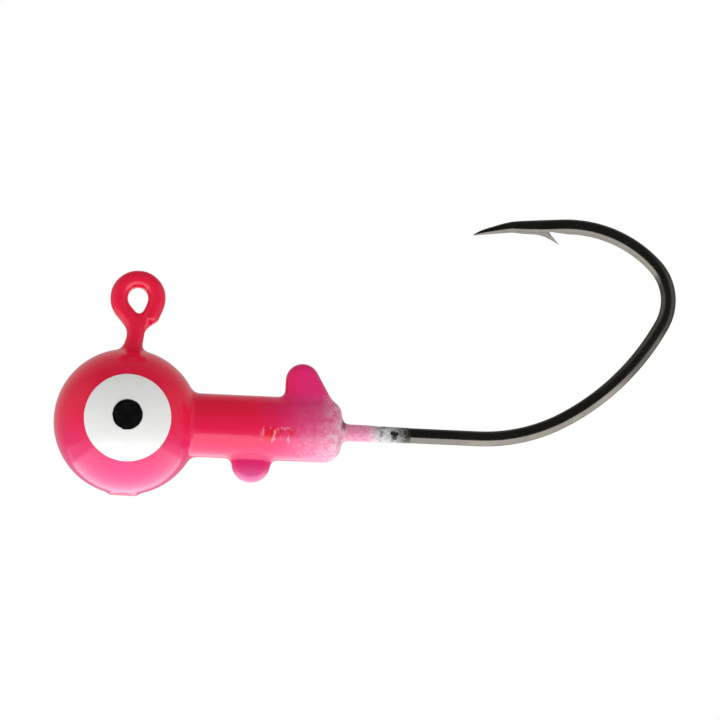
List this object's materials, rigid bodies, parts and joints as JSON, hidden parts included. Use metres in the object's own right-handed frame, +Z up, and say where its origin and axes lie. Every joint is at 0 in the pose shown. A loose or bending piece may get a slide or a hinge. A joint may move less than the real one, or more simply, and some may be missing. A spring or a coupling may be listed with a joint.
{
  "type": "jig head",
  "caption": "Painted ball-head fishing jig with a collared lead body, bait keepers, painted eyes and a long wide-bend barbed hook.",
  "frame": {"origin": "centre of the line tie's loop, where the fishing line is tied", "axes": "+X back along the hook's shank toward the bend, +Z up from the shank through the line tie, Y across the head; the hook lies in the plane Y = 0 and the head faces -X"},
  "size_m": [0.0419, 0.0102, 0.0202],
  "materials": {
    "black_nickel": "bright black nickel plate on steel wire",
    "lead": "dull cast lead",
    "white_primer": "matt white base paint",
    "pink_paint": "glossy fluorescent pink paint",
    "pink_overspray": "thin pink overspray that breaks up into specks",
    "white_enamel": "gloss white enamel",
    "black_enamel": "gloss black enamel"
  },
  "bodies": {
    "root": {"hook": "black_nickel", "head_casting": "lead", "base_coat": "white_primer", "colour_coat": "pink_paint", "eye_coat": "pink_paint", "shank_coat": "pink_overspray", "left_eye_white": "white_enamel", "right_eye_white": "white_enamel", "left_pupil": "black_enamel", "right_pupil": "black_enamel"}
  },
  "joints": []
}
